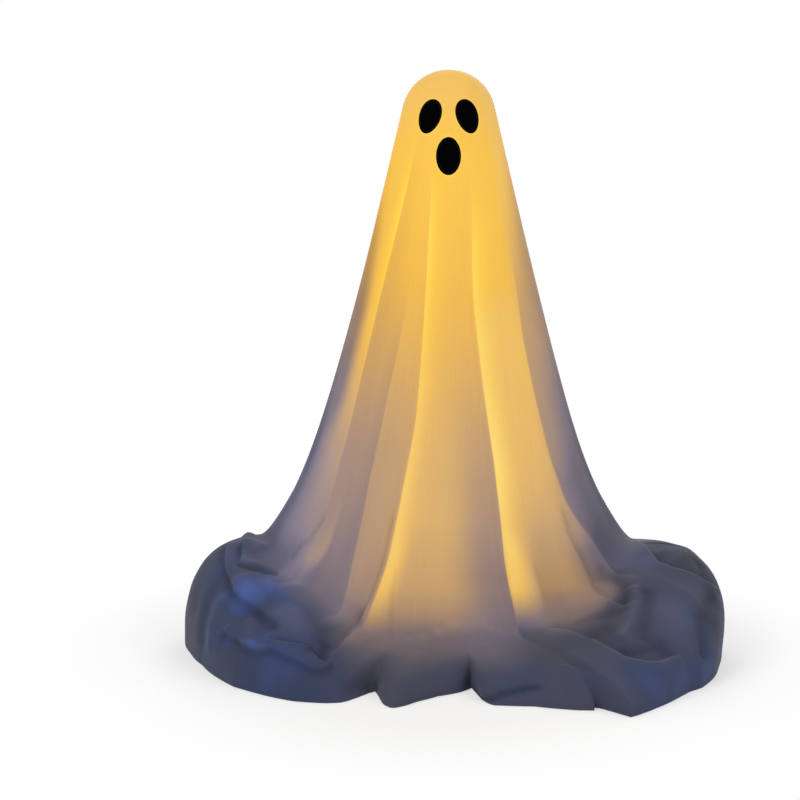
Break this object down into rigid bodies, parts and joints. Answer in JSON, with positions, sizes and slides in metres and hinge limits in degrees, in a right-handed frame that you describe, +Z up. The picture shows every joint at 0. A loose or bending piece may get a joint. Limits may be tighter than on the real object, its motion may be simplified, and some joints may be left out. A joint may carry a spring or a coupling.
{
  "type": "ghost string lights",
  "caption": "Standing ghost figure: a sheer draped cloth with felt eyes and mouth over a folding pole stand, lit from inside by a laced battery light string.",
  "frame": {"origin": "on the floor, under the middle of the stand and of the cloth's outline", "axes": "+Z up, the face looks towards -Y, +X to the right of a viewer who looks at the face"},
  "size_m": [1.87, 1.632, 2],
  "materials": {
    "drape_cloth": "matte",
    "face_felt": "matte",
    "black_steel": "satin",
    "foot_rubber": "matte",
    "zinc_steel": "satin",
    "bush_bronze": "satin",
    "stand_plastic": "matte",
    "pole_tube": "satin",
    "spring_steel": "satin",
    "dome_plastic": "satin",
    "wire_jacket": "satin",
    "lamp_lens": "gloss",
    "case_plastic": "matte",
    "cell_wrap": "gloss",
    "contact_brass": "satin",
    "board_green": "satin",
    "button_red": "satin"
  },
  "bodies": {
    "stand": {"drape_front": "drape_cloth", "drape_back": "drape_cloth", "eye_left": "face_felt", "eye_right": "face_felt", "mouth": "face_felt", "lower_foot_bar": "black_steel", "lower_bar_feet": "foot_rubber", "lower_foot_screws": "zinc_steel", "pivot_bolt": "zinc_steel", "pivot_bush": "bush_bronze", "pivot_washer": "zinc_steel", "pivot_nut": "zinc_steel", "pole_socket": "stand_plastic", "lower_pole": "pole_tube", "middle_pole": "pole_tube", "upper_pole": "pole_tube", "lower_snap_spring": "spring_steel", "upper_snap_spring": "spring_steel", "lower_hoop": "stand_plastic", "crown_hoop": "stand_plastic", "hoop_screws": "zinc_steel", "head_dome": "dome_plastic", "dome_screws": "zinc_steel", "string_wire": "wire_jacket", "led_sockets": "wire_jacket", "led_lenses": "lamp_lens", "string_end_cap": "wire_jacket", "case_tray": "case_plastic", "case_fascia": "case_plastic", "door_pin": "zinc_steel", "door_gasket": "foot_rubber", "fascia_screws": "zinc_steel", "case_clips": "case_plastic", "battery_cells": "cell_wrap", "contact_springs": "spring_steel", "contact_plates": "contact_brass", "circuit_board": "board_green", "lead_gland": "foot_rubber"},
    "upper_bar": {"upper_foot_bar": "black_steel", "upper_bar_feet": "foot_rubber", "upper_foot_screws": "zinc_steel"},
    "clamp": {"clamp_knob": "stand_plastic"},
    "lower_snap": {"lower_snap_button": "zinc_steel"},
    "upper_snap": {"upper_snap_button": "zinc_steel"},
    "door": {"case_door": "case_plastic"},
    "button": {"mode_button": "button_red"}
  },
  "joints": [
    {"name": "base_fold", "type": "hinge", "parent": "stand", "child": "upper_bar", "pos_m": [0, 0, 0.0228], "axis": [0, 0, 1], "range_deg": [0, 90]},
    {"name": "clamp_turn", "type": "hinge", "parent": "stand", "child": "clamp", "pos_m": [0.02, 0, 0.0921], "axis": [1, 0, 0], "continuous": true},
    {"name": "lower_snap_press", "type": "slide", "parent": "stand", "child": "lower_snap", "axis": [-1, 0, 0], "range_m": [0, 0.003], "stiffness_N_per_m": 300, "springref_m": -0.002, "deforming": ["lower_snap_spring"]},
    {"name": "upper_snap_press", "type": "slide", "parent": "stand", "child": "upper_snap", "axis": [-1, 0, 0], "range_m": [0, 0.003], "stiffness_N_per_m": 300, "springref_m": -0.002, "deforming": ["upper_snap_spring"]},
    {"name": "door_swing", "type": "hinge", "parent": "stand", "child": "door", "pos_m": [0.0398, 0.04135, 0.35], "axis": [0, 0, -1], "range_deg": [0, 100]},
    {"name": "button_press", "type": "slide", "parent": "stand", "child": "button", "axis": [0, -1, 0], "range_m": [0, 0.0015], "stiffness_N_per_m": 400, "springref_m": -0.001}
  ]
}
